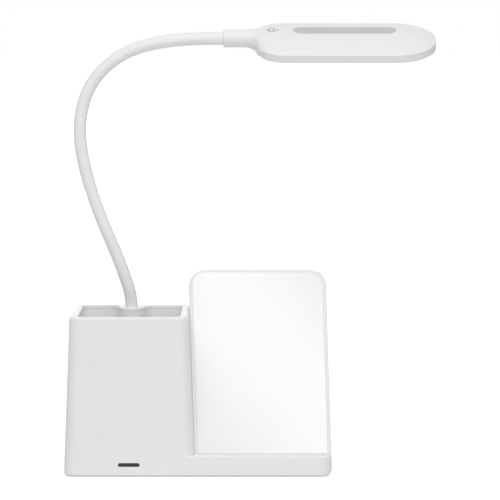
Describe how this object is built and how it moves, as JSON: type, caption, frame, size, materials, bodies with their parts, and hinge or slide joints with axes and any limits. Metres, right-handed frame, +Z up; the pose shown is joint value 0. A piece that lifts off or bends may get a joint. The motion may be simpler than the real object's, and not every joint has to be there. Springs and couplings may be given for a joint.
{
  "type": "desk lamp",
  "caption": "Desk lamp on a pen-holder base with a leaning phone rest; a bendable gooseneck carries a flat paddle-shaped light with a push button.",
  "frame": {"origin": "centre of the base's foot ring, on the desk", "axes": "+Z up, +X to the user's right, +Y away from the user"},
  "size_m": [0.2464, 0.0913, 0.2951],
  "materials": {
    "housing_white": "fine moulded satin, white ABS",
    "panel_gloss_white": "polished white acrylic",
    "cup_white": "moulded satin, white ABS",
    "smoked_lens": "smoked polycarbonate",
    "cover_white": "moulded, white ABS",
    "foot_rubber": "soft grey rubber",
    "screw_steel": "zinc-plated steel",
    "ballast_steel": "sheared steel plate",
    "cell_wrap": "shrink-wrapped cells",
    "inner_plastic": "natural ABS",
    "contact_nickel": "nickel strip",
    "circuit_board": "green solder mask",
    "light_board": "white solder mask on aluminium",
    "chip_black": "moulded epoxy",
    "led_phosphor": "phosphor gel",
    "socket_steel": "nickel-plated steel",
    "ferrule_brass": "turned brass",
    "nut_brass": "turned brass",
    "neck_silicone": "matt white silicone",
    "hose_steel": "wound steel hose",
    "lead_pvc": "white PVC",
    "diffuser_opal": "opal polycarbonate",
    "strip_grey": "satin pale grey inlay",
    "button_white": "moulded satin, white ABS"
  },
  "bodies": {
    "base": {"base_housing": "housing_white", "phone_panel": "panel_gloss_white", "pen_cup": "cup_white", "indicator_lens": "smoked_lens", "indicator_board": "circuit_board", "indicator_leds": "led_phosphor", "bottom_cover": "cover_white", "foot_ring": "foot_rubber", "bottom_screws": "screw_steel", "ballast_plate": "ballast_steel", "battery_cells": "cell_wrap", "battery_cradle": "inner_plastic", "contact_strips": "contact_nickel", "main_board": "circuit_board", "board_parts": "chip_black", "board_screws": "screw_steel", "usb_socket": "socket_steel", "neck_ferrule": "ferrule_brass", "neck_washer": "screw_steel", "neck_nut": "nut_brass", "neck_sleeve_0": "neck_silicone", "neck_hose_0": "hose_steel", "lamp_lead_0": "lead_pvc"},
    "neck_1": {"neck_sleeve_1": "neck_silicone", "neck_hose_1": "hose_steel", "lamp_lead_1": "lead_pvc"},
    "neck_2": {"neck_sleeve_2": "neck_silicone", "neck_hose_2": "hose_steel", "lamp_lead_2": "lead_pvc"},
    "neck_3": {"neck_sleeve_3": "neck_silicone", "neck_hose_3": "hose_steel", "lamp_lead_3": "lead_pvc"},
    "neck_4": {"neck_sleeve_4": "neck_silicone", "neck_hose_4": "hose_steel", "lamp_lead_4": "lead_pvc"},
    "neck_5": {"neck_sleeve_5": "neck_silicone", "neck_hose_5": "hose_steel", "lamp_lead_5": "lead_pvc"},
    "neck_6": {"neck_sleeve_6": "neck_silicone", "neck_hose_6": "hose_steel", "lamp_lead_6": "lead_pvc"},
    "neck_7": {"neck_sleeve_7": "neck_silicone", "neck_hose_7": "hose_steel", "lamp_lead_7": "lead_pvc"},
    "head": {"neck_sleeve_8": "neck_silicone", "neck_hose_8": "hose_steel", "lamp_lead_8": "lead_pvc", "head_top_shell": "housing_white", "head_frame": "housing_white", "diffuser": "diffuser_opal", "led_board": "light_board", "led_chips": "led_phosphor", "accent_strip": "strip_grey", "button_switch": "chip_black", "button_board": "circuit_board", "head_screws": "screw_steel", "head_ferrule": "ferrule_brass", "neck_clamp": "inner_plastic"},
    "button": {"power_button": "button_white", "switch_plunger": "chip_black"}
  },
  "joints": [
    {"name": "neck_bend_1", "type": "hinge", "parent": "base", "child": "neck_1", "pos_m": [-0.0486, 0.02315, 0.12107], "axis": [0, 1, 0], "range_deg": [-20, 20]},
    {"name": "neck_swing_2", "type": "hinge", "parent": "neck_1", "child": "neck_2", "pos_m": [-0.05988, 0.02315, 0.15046], "axis": [0.9171, 0, 0.3987], "range_deg": [-20, 20]},
    {"name": "neck_bend_3", "type": "hinge", "parent": "neck_2", "child": "neck_3", "pos_m": [-0.07117, 0.02315, 0.17986], "axis": [0, 1, 0], "range_deg": [-20, 20]},
    {"name": "neck_swing_4", "type": "hinge", "parent": "neck_3", "child": "neck_4", "pos_m": [-0.07878, 0.02315, 0.21039], "axis": [0.9863, 0, 0.165], "range_deg": [-20, 20]},
    {"name": "neck_bend_5", "type": "hinge", "parent": "neck_4", "child": "neck_5", "pos_m": [-0.07728, 0.02315, 0.24162], "axis": [0, -1, 0], "range_deg": [-20, 20]},
    {"name": "neck_swing_6", "type": "hinge", "parent": "neck_5", "child": "neck_6", "pos_m": [-0.06051, 0.02315, 0.26769], "axis": [0.6361, 0, -0.7716], "range_deg": [-20, 20]},
    {"name": "neck_bend_7", "type": "hinge", "parent": "neck_6", "child": "neck_7", "pos_m": [-0.03241, 0.02315, 0.28124], "axis": [0, -1, 0], "range_deg": [-20, 20]},
    {"name": "neck_swing_8", "type": "hinge", "parent": "neck_7", "child": "head", "pos_m": [-0.00117, 0.02315, 0.28494], "axis": [0.0262, 0, -0.9997], "range_deg": [-20, 20]},
    {"name": "button_press", "type": "slide", "parent": "head", "child": "button", "axis": [0, 0.3584, -0.9336], "range_m": [0, 0.0004], "stiffness_N_per_m": 1500, "springref_m": -0.0006}
  ]
}
